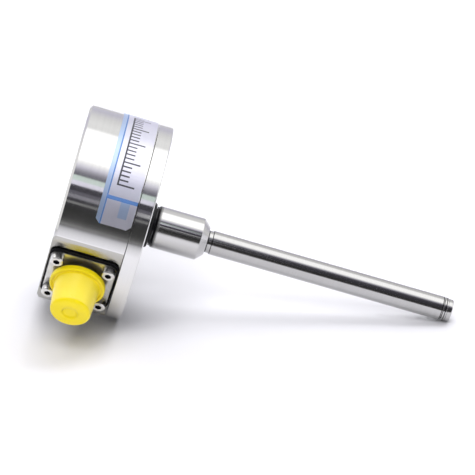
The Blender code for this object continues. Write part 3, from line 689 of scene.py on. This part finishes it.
def white_ground(name, tint):
    """Matt white that keeps the object's shadow, with painted shade that darkens it far away. It is clear
    from behind.
    """
    look = Look(name)
    x, y, z = look.place()
    mottle = look.noise(look.vector(x, y, z), scale=0.01, detail=2.0)
    white = look.blend(mottle, tint, tuple(part * MOTTLE_SHADE for part in tint))
    # Painted shade: the white darkens with distance, standing in for light that falls off
    away = look.math("POWER", look.span(x, *TABLE_FADE, 0.0, 1.0), TABLE_FADE_POWER)
    faded = look.blend(away, white, tuple(part * TABLE_FAR_SHARE for part in tint))
    matt = look.node("ShaderNodeBsdfDiffuse")
    look.feed(matt.inputs["Color"], look.blend(look.steel_bounce(), (0.0, 0.0, 0.0), faded))
    clear = look.node("ShaderNodeBsdfTransparent")
    look.show(look.node("ShaderNodeNewGeometry").outputs["Backfacing"], matt, clear)
    return look


def make_ground():
    """The table, and a floor for other views, which the photograph's camera sees from behind."""
    up, near = table_up(), table_near()
    toward = Vector((math.cos(TABLE_TURN), math.sin(TABLE_TURN), 0.0))
    touch = Vector((0.0, 0.0, RIM_LEVEL)) - toward * RIM_RADIUS
    table_mesh = flat_round("table", TABLE_RADIUS)
    table_white = white_ground("table_white", TABLE_TINT)
    table = stage_object("table", table_mesh, table_white, "shadow", "transmission")
    turned = Matrix((near, up.cross(near), up)).transposed().to_4x4()
    table.matrix_world = Matrix.Translation(touch * MM) @ turned
    floor_mesh = flat_round("floor", FLOOR_RADIUS)
    floor_white = white_ground("floor_white", FLOOR_TINT)
    stage_object("floor", floor_mesh, floor_white, "shadow", "transmission", "diffuse", "glossy")


def glow_look(name, strength):
    """A glow seen only by rays that have met no matt surface on their way, and its colour's socket."""
    look = Look(name)
    shine = look.node("ShaderNodeEmission")
    shine.inputs["Strength"].default_value = strength
    look.show(look.met_matt(), shine, look.node("ShaderNodeBsdfTransparent"))
    return look, shine.inputs["Color"]


def panel_mesh(name, first, last, low, high):
    """An upright strip between two compass angles and two levels, curved round the object."""
    work = bmesh.new()
    columns = []
    for angle in (first, (first + last) / 2, last):
        foot = compass(angle, 0.0) * PANEL_RADIUS * MM
        columns.append([work.verts.new((foot.x, foot.y, level * MM)) for level in (low, high)])
    for left, right in zip(columns, columns[1:]):
        work.faces.new((left[0], right[0], right[1], left[1]))
    return finished_mesh(name, work)


def make_panels():
    """Upright light panels near the object that only reflections see."""
    for index, (first, last, low, high, level, tint) in enumerate(PANELS, start=1):
        name = f"panel_{index}"
        look, colour = glow_look(name, level)
        look.feed(colour, (*tint, 1.0))
        stage_object(name, panel_mesh(name, first, last, low, high), look, *REFLECTED_ONLY)


def surroundings_colour(look):
    """The surroundings' colour at a point's compass angle, divided by their gain."""
    x, y, z = look.place()
    turn = look.math("DIVIDE", look.math("ARCTAN2", y, x), math.tau)
    ramp = look.node("ShaderNodeValToRGB")
    look.feed(ramp.inputs[0], look.math("FRACT", turn))
    stops = ramp.color_ramp.elements
    while len(stops) > 1:
        stops.remove(stops[-1])
    for index, (angle, level, tint) in enumerate(SURROUNDINGS):
        stop = stops[0] if index == 0 else stops.new(angle / 360.0)
        stop.position = angle / 360.0
        stop.color = (*(level / SURROUNDINGS_GAIN * part for part in tint), 1.0)
    return ramp.outputs["Color"]


def make_surroundings():
    """A tall ring of studio walls, flags and panels that only reflections see."""
    work = bmesh.new()
    bmesh.ops.create_cone(
        work,
        segments=SURROUNDINGS_STEPS,
        radius1=SURROUNDINGS_RADIUS * MM,
        radius2=SURROUNDINGS_RADIUS * MM,
        depth=SURROUNDINGS_HEIGHT * MM,
    )
    look, colour = glow_look("surroundings", SURROUNDINGS_GAIN)
    look.feed(colour, surroundings_colour(look))
    stage_object("surroundings", finished_mesh("surroundings", work), look, *REFLECTED_ONLY)


def make_world():
    """White to the eye and in first reflections. Its own light is faint above the table, and as bright
    as the table below it."""
    world = bpy.data.worlds.new("studio")
    bpy.context.scene.world = world
    world.use_nodes = True
    sky = Nodes(world.node_tree)
    ground = sky.tree.nodes["Background"]
    ground.inputs["Color"].default_value = (1.0, 1.0, 1.0, 1.0)
    rays = sky.node("ShaderNodeLightPath")
    before_matt = sky.math("SUBTRACT", 1.0, sky.met_matt())
    reflected = sky.product(rays.outputs["Is Glossy Ray"], before_matt)
    seen = sky.either(rays.outputs["Is Camera Ray"], reflected, rays.outputs["Is Transmission Ray"])
    height = sky.dot(sky.node("ShaderNodeTexCoord").outputs["Generated"], table_up())
    soft = sky.span(height, -HORIZON_BLUR, HORIZON_BLUR, TABLE_BOUNCE, SKY_LEVEL)
    matt_light = sky.product(soft, sky.steel_bounce())
    unseen = sky.math("SUBTRACT", 1.0, seen)
    sky.feed(ground.inputs["Strength"], sky.math("MULTIPLY_ADD", matt_light, unseen, seen))


def add_softbox(name, direction, level):
    """A square softbox whose light on a plate facing it has the given level."""
    data = bpy.data.lights.new(name, "AREA")
    data.shape = "SQUARE"
    data.size = SOFTBOX_SIZE * MM
    data.energy = level * (math.pi * SOFTBOX_DISTANCE * MM) ** 2
    lamp = new_object(name, data)
    lamp.location = (SOFTBOX_AIM + direction * SOFTBOX_DISTANCE) * MM
    lamp.rotation_euler = direction.to_track_quat("Z", "Y").to_euler()
    lamp.visible_glossy = False
    lamp.visible_camera = False


def make_lamps():
    up, near = table_up(), table_near()
    back = near.cross(up)
    for name, rise_degrees, turn_degrees, level in SOFTBOXES:
        rise, turn = math.radians(rise_degrees), math.radians(turn_degrees)
        across = near * math.cos(rise) + up * math.sin(rise)
        add_softbox(f"softbox_{name}", across * math.cos(turn) + back * math.sin(turn), level)


def scale_print(look, along, level):
    """The label's measuring scale: a base line with ticks, one in each group taller."""
    step = look.math("DIVIDE", look.math("SUBTRACT", along, SCALE_FROM), SCALE_PITCH)
    tick = look.inside(look.math("FRACT", step), 0.0, TICK_SHARE)
    marked = look.inside(look.math("MODULO", look.math("FLOOR", step), TICK_GROUP), -0.1, 0.1)
    short = look.inside(level, SCALE_BASE, SCALE_BASE + TICK_SHORT)
    tall = look.product(marked, look.inside(level, SCALE_BASE, SCALE_BASE + TICK_TALL))
    ticks = look.product(tick, look.inside(along, SCALE_FROM, SCALE_TO), look.either(short, tall))
    base_line = (SCALE_FROM, SCALE_TO, SCALE_BASE - SCALE_LINE, SCALE_BASE)
    return look.either(ticks, look.patches(along, level, (base_line,)))


def label_look():
    """Silvery film with a generic print: a measuring scale in black, rules and steps in blue."""
    look = Look("label_film")
    x, y, z = look.place()
    point = look.vector(x, y, z)
    skin = look.noise(point, scale=6.0, detail=3.0)
    film = look.two_tone(look.noise(point, scale=0.15, detail=2.0), FILM_DARK, FILM_LIGHT)
    turn = look.math("FLOORED_MODULO", look.math("ARCTAN2", y, x), math.tau)
    along = look.product(look.math("SUBTRACT", LABEL_START, turn), LABEL_RADIUS)
    pale = look.patches(along, z, PALE_STEPS)
    blue = look.patches(along, z, BLUE_RULES)
    black = look.either(scale_print(look, along, z), look.patches(along, z, BLACK_RULES))
    printed = look.blend(look.product(pale, PALE_COVER), film, PALE_INK)
    printed = look.blend(look.product(blue, BLUE_COVER), printed, BLUE_INK)
    printed = look.blend(look.product(black, BLACK_COVER), printed, BLACK_INK)
    inked = look.either(black, look.product(blue, BLUE_MATT))
    look.set(
        base_color=printed,
        metallic=look.span(inked, 0.0, 1.0, FILM_METALLIC, INK_METALLIC),
        roughness=look.wander(skin, 0.32, 0.40),
    )
    look.bump(skin, 0.006)
    return look


def housing_look():
    """Turned steel of the drum, with a duller milled flat round the connector."""
    look = turned_steel("drum_steel", PLATE_COLOUR, PLATE_ROUGHNESS, stretch=PLATE_STRETCH)
    x, y, z = look.place()
    at_level = look.inside(y, FLAT_LEVEL - FLAT_BELOW, FLAT_LEVEL + FLAT_ABOVE)
    on_flat = look.product(at_level, look.inside(x, -FLAT_HALF_WIDTH, FLAT_HALF_WIDTH))
    look.set(roughness=look.math("MULTIPLY_ADD", on_flat, FLAT_ROUGHNESS, look.fed_by("Roughness")))
    look.lay(look.product(on_flat, FLAT_SHARE), FLAT_COLOUR)
    return look


def flange_look():
    """Turned steel of the front plate and collar, with painted shade in the undercut behind the O-ring."""
    look = turned_steel("flange_steel", PLATE_COLOUR, PLATE_ROUGHNESS, stretch=PLATE_STRETCH)
    x, y, z = look.place()
    side = look.span(look.radius(x, y), *UNDERCUT_SIDE, 1.0, 0.0)
    foot = look.span(z, *UNDERCUT_FOOT, 0.0, 1.0)
    top = look.span(z, *UNDERCUT_TOP, 1.0, 0.0)
    undercut = look.product(side, foot, top)
    look.lay(look.span(z, *COLLAR_FOOT, 0.0, COLLAR_SHARE), COLLAR_COLOUR)
    # Painted shade: the undercut behind the O-ring darkened nearly to black
    look.lay(undercut, UNDERCUT_SHADE)
    look.set(metallic=look.span(undercut, 0.0, 1.0, 1.0, UNDERCUT_SHADE_METALLIC))
    return look


def screw_look():
    """Bright steel heads with painted shade in their hex sockets, the same for all four screws."""
    look = fine_metal("screw_steel", colour=(0.80, 0.79, 0.78), roughness=0.24)
    x, y, z = look.place()
    across = look.math("SUBTRACT", look.math("ABSOLUTE", x), SCREW_OFFSET)
    from_middle = look.math("ABSOLUTE", look.math("SUBTRACT", z, CONNECTOR_LEVEL))
    up = look.math("SUBTRACT", from_middle, SCREW_OFFSET)
    within = look.span(look.radius(across, up), *SOCKET_SIDE, 1.0, 0.0)
    shallow, deep = (SCREW_TOP + depth for depth in SOCKET_DEPTH)
    # Painted shade inside each hex socket
    look.lay(look.product(within, look.span(y, shallow, deep, 0.0, 1.0)), SOCKET_SHADE_COLOUR)
    return look


def dark_rings(look, spans):
    """Adds narrow dark rings, given by their levels along the rod, to a steel: painted shade in the neck's
    corners, dark lines at the weld.
    """
    x, y, z = look.place()
    rings = look.either(*(look.inside(z, low, high) for low, high in spans))
    # Painted shade at the neck's corners, dark lines at the weld
    look.lay(look.product(rings, RING_SHARE), RING_COLOUR)
    return look


def cap_look():
    """Yellow plastic, glossier on the barrel, with a soft wide dimple in the cap's end."""
    look = moulded("cap_plastic", CAP_COLOUR, roughness=0.30, scale=0.6, depth=0.006, shade=0.97)
    x, y, z = look.place()
    radius = look.radius(x, look.math("SUBTRACT", z, CONNECTOR_LEVEL))
    bowl = look.span(radius, *DIMPLE_RADII, 0.0, 1.0, "SMOOTHSTEP")
    dimple = look.raised(look.product(bowl, look.inside(y, *CAP_END)), DIMPLE_DEPTH)
    look.feed(look.fed_by("Normal").node.inputs["Normal"], dimple)
    on_barrel = look.inside(y, *CAP_BARREL)
    look.set(specular_ior_level=look.span(on_barrel, 0.0, 1.0, CAP_GLOSS, BARREL_GLOSS))
    return look


def thread_row(work, index, steps):
    """The corners of the thread's ridge at one step along it."""
    turn = math.tau * index / THREAD_STEPS
    level = THREAD_FROM - THREAD_PITCH * index / THREAD_STEPS
    rise = THREAD_RISE * min(1.0, index / THREAD_FADE_STEPS, (steps - index) / THREAD_FADE_STEPS)
    row = []
    for shift, height in (
        (-THREAD_FOOT, THREAD_ROOT),
        (-THREAD_CREST, rise),
        (THREAD_CREST, rise),
        (THREAD_FOOT, THREAD_ROOT),
    ):
        radius = SHELL_RADIUS + height
        across, up = radius * math.cos(turn), CONNECTOR_LEVEL + radius * math.sin(turn)
        row.append(work.verts.new((across * MM, (level + shift) * MM, up * MM)))
    return row


def thread_mesh():
    """The shell's fine outer thread as one low helical ridge."""
    work = bmesh.new()
    steps = int(THREAD_TURNS * THREAD_STEPS)
    rows = [thread_row(work, index, steps) for index in range(steps + 1)]
    for first, second in zip(rows, rows[1:]):
        for side in range(len(first)):
            other = (side + 1) % len(first)
            work.faces.new((first[side], first[other], second[other], second[side]))
    work.faces.new(rows[0])
    work.faces.new(reversed(rows[-1]))
    bmesh.ops.recalc_face_normals(work, faces=work.faces)
    return finished_mesh("shell_thread", work)


def add_thread(look):
    mesh = thread_mesh()
    mesh.materials.append(look.material)
    piece = new_object("shell_thread", mesh)
    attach(piece, "sensor")


def laminate():
    """Green board with a faint glass weave."""
    look = Look("board_laminate")
    x, y, z = look.place()
    wave_x = look.math("SINE", look.product(x, WEAVE_WAVES))
    wave_y = look.math("SINE", look.product(y, WEAVE_WAVES))
    weave = look.product(wave_x, wave_y)
    cloud = look.noise(look.vector(x, y, z), scale=0.4, detail=3.0)
    woven = look.blend(look.span(weave, -1.0, 1.0, 0.0, 1.0), BOARD_DARK, BOARD_LIGHT)
    look.set(base_color=look.blend(cloud, woven, BOARD_CLOUD), roughness=look.wander(cloud, 0.32, 0.45))
    look.bump(weave, 0.01)
    return look


def wound_copper():
    """Enamelled copper wire, wound in close turns round the rod's axis."""
    look = Look("coil_copper")
    x, y, z = look.place()
    turns = look.math("SINE", look.product(z, COIL_WAVES))
    cloud = look.noise(look.vector(x, y, z), scale=1.5, detail=3.0)
    look.set(
        base_color=look.blend(look.span(turns, -1.0, 1.0, 0.0, 1.0), COPPER_DARK, COPPER_LIGHT),
        metallic=1.0,
        roughness=look.wander(cloud, 0.28, 0.38),
    )
    look.bump(turns, 0.04)
    return look


def dress_outside():
    """The pieces that show."""
    smooth_copy("housing_body", housing_look(), edge=PLATE_EDGE)
    smooth_copy("front_flange", flange_look(), edge=PLATE_EDGE)
    rod_steel = turned_steel("rod_steel", ROD_COLOUR, roughness=0.12, grain=0.5)
    smooth_copy("rod_tube", dark_rings(rod_steel, ROD_RINGS), edge=ROD_EDGE)
    plug_steel = turned_steel("plug_steel", ROD_COLOUR, roughness=0.14)
    smooth_copy("rod_end_plug", dark_rings(plug_steel, PLUG_RINGS), edge=ROD_EDGE)
    shell_steel = fine_metal("receptacle_steel", colour=(0.74, 0.735, 0.72), roughness=0.26)
    smooth_copy("receptacle_shell", shell_steel, edge=SHELL_EDGE)
    add_thread(shell_steel)
    screw_steel = screw_look()
    for index in range(4):
        smooth_copy(f"flange_screw_{index + 1}", screw_steel, edge=SCREW_EDGE)
    smooth_copy("protective_cap", cap_look(), body="cap", edge=CAP_EDGE)
    o_ring = moulded("o_ring_rubber", O_RING_COLOUR, roughness=0.50, specular_ior_level=0.25)
    smooth_copy("collar_o_ring", o_ring)
    gasket = moulded("gasket_rubber", GASKET_COLOUR, roughness=0.60, specular_ior_level=0.12)
    smooth_copy("flange_gasket", gasket)
    paint("label", label_look())
    paint("contact_insert", moulded("insulator_plastic", colour=(0.03, 0.03, 0.03), roughness=0.5))
    paint_row("contact_pin", 8, fine_metal("contact_gold", colour=(0.85, 0.62, 0.26), roughness=0.24))


def dress_inside():
    """The pieces that the housing and the rod hide."""
    paint("cover_seal", moulded("seal_rubber", colour=(0.02, 0.02, 0.02), roughness=0.6))
    paint("main_board", laminate())
    paint_row("board_spacer", 3, fine_metal("spacer_brass", colour=(0.80, 0.60, 0.28), roughness=0.28))
    paint_row("board_screw", 3, fine_metal("board_screw_steel", colour=(0.66, 0.65, 0.63), roughness=0.30))
    paint("sensing_head", moulded("bobbin_plastic", colour=(0.045, 0.045, 0.05), roughness=0.48))
    paint("pickup_coil", wound_copper())
    paint("bias_magnet", fine_metal("magnet_nickel", colour=(0.70, 0.67, 0.62), roughness=0.22))
    wire = fine_metal("waveguide_alloy", colour=(0.56, 0.55, 0.53), roughness=0.26, scale=3.0)
    paint("waveguide_wire", wire)
    conductor = fine_metal("conductor_copper", colour=(0.78, 0.38, 0.20), roughness=0.28, scale=3.0)
    paint("return_conductor", conductor)
    link = fine_metal("link_copper", colour=(0.80, 0.42, 0.24), roughness=0.30, scale=3.0)
    paint("conductor_link", link)
    paint("guide_tube", moulded("guide_ceramic", colour=(0.80, 0.78, 0.72), roughness=0.55))
    paint("damping_sleeve", moulded("damping_silicone", colour=(0.55, 0.14, 0.08), roughness=0.62))
    paint_row("centring_ring", 2, moulded("centring_silicone", colour=(0.70, 0.70, 0.68), roughness=0.60))
    for index, (name, colour) in enumerate(LEAD_COLOURS, start=1):
        paint(f"lead_wire_{index}", moulded(f"lead_{name}", colour, roughness=0.42, scale=3.0))


make_camera()
make_world()
make_ground()
make_surroundings()
make_panels()
make_lamps()
dress_outside()
dress_inside()

view = bpy.context.scene.view_settings
view.view_transform = "Standard"
